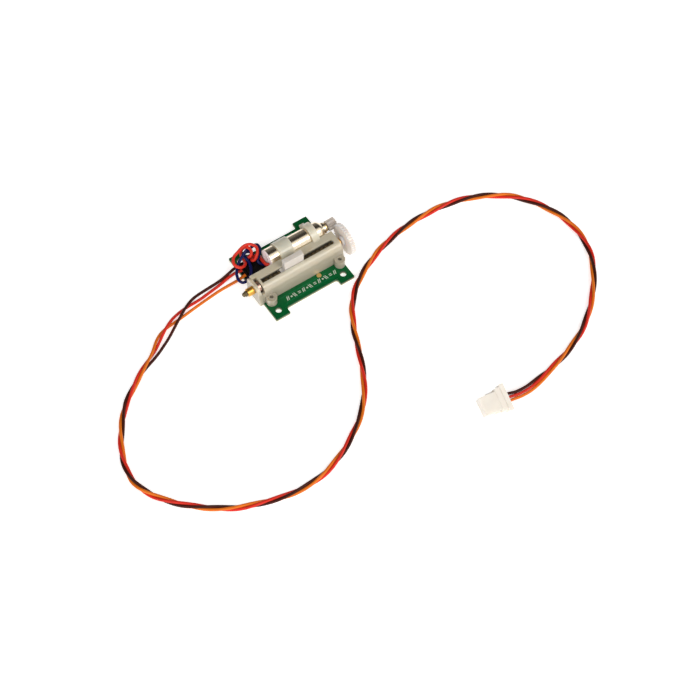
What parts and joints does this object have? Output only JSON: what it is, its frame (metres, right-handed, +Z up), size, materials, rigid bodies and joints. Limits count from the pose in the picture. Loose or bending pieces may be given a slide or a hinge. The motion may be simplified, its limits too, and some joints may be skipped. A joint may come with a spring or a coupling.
{
  "type": "linear servo motor",
  "caption": "Ultra-micro linear servo on a circuit board: a geared coreless motor turns a lead screw that slides a drive post, with a twisted lead and plug.",
  "frame": {"origin": "under the middle of the servo's own box, on the surface that the circuit board lies on; the free lead and its plug are left out of that box", "axes": "+X along the lead screw towards the gears, +Y from the lead screw towards the motor, +Z up out of the board"},
  "size_m": [0.105, 0.061, 0.0075],
  "materials": {
    "solder_mask": "glossy solder mask on glass-epoxy board",
    "nylon": "translucent moulded nylon",
    "white_nylon": "moulded white nylon",
    "steel": "bright drawn steel",
    "brass": "turned brass",
    "copper": null,
    "gold": "gold-plated brass",
    "magnet": null,
    "carbon": "printed carbon film",
    "black_epoxy": "moulded black epoxy",
    "ceramic": "fired ceramic",
    "solder": null,
    "wire_red": "soft insulation",
    "wire_blue": "soft insulation",
    "wire_brown": "soft insulation",
    "wire_orange": "soft insulation"
  },
  "bodies": {
    "servo_body": {"circuit_board": "solder_mask", "main_frame": "nylon", "control_chip": "black_epoxy", "bridge_chip": "black_epoxy", "bypass_capacitor": "ceramic", "filter_capacitor": "ceramic", "timing_resistor": "black_epoxy", "resistive_track": "carbon", "collector_track": "gold", "track_pad": "gold", "solder_signal": "solder", "solder_power": "solder", "solder_ground": "solder", "solder_motor_red": "solder", "solder_motor_blue": "solder", "left_bush": "brass", "right_bush": "brass", "motor_can": "steel", "motor_end_cap": "white_nylon", "front_collar": "steel", "front_bearing": "brass", "stator_magnet": "magnet", "brush_positive": "gold", "brush_negative": "gold", "motor_lead_red": "wire_red", "motor_lead_blue": "wire_blue", "lead_ground": "wire_brown", "lead_power": "wire_red", "lead_signal": "wire_orange", "lead_bundle": "wire_orange", "connector_housing": "white_nylon", "terminal_1": "gold", "terminal_2": "gold", "terminal_3": "gold"},
    "screw": {"lead_screw": "steel", "thrust_collar": "copper", "spur_gear": "white_nylon", "gear_hub": "white_nylon"},
    "rotor": {"motor_shaft": "steel", "rotor_coil": "copper", "commutator": "gold", "pinion": "white_nylon"},
    "carriage": {"slider": "white_nylon", "wiper": "copper"}
  },
  "joints": [
    {"name": "slider_travel", "type": "slide", "parent": "servo_body", "child": "carriage", "axis": [1, 0, 0], "range_m": [-0.0044, 0.007]},
    {"name": "screw_spin", "type": "hinge", "parent": "servo_body", "child": "screw", "pos_m": [0.0003, -0.0019, 0.00366], "axis": [1, 0, 0], "range_deg": [-2521, 1585]},
    {"name": "motor_spin", "type": "hinge", "parent": "servo_body", "child": "rotor", "pos_m": [0.0003, 0.00224, 0.00437], "axis": [1, 0, 0], "range_deg": [-5812, 9244]}
  ],
  "couplings": [
    {"joint": "screw_spin", "follows": "slider_travel", "rad_per_m": -6283.2},
    {"joint": "motor_spin", "follows": "slider_travel", "rad_per_m": 23038}
  ]
}
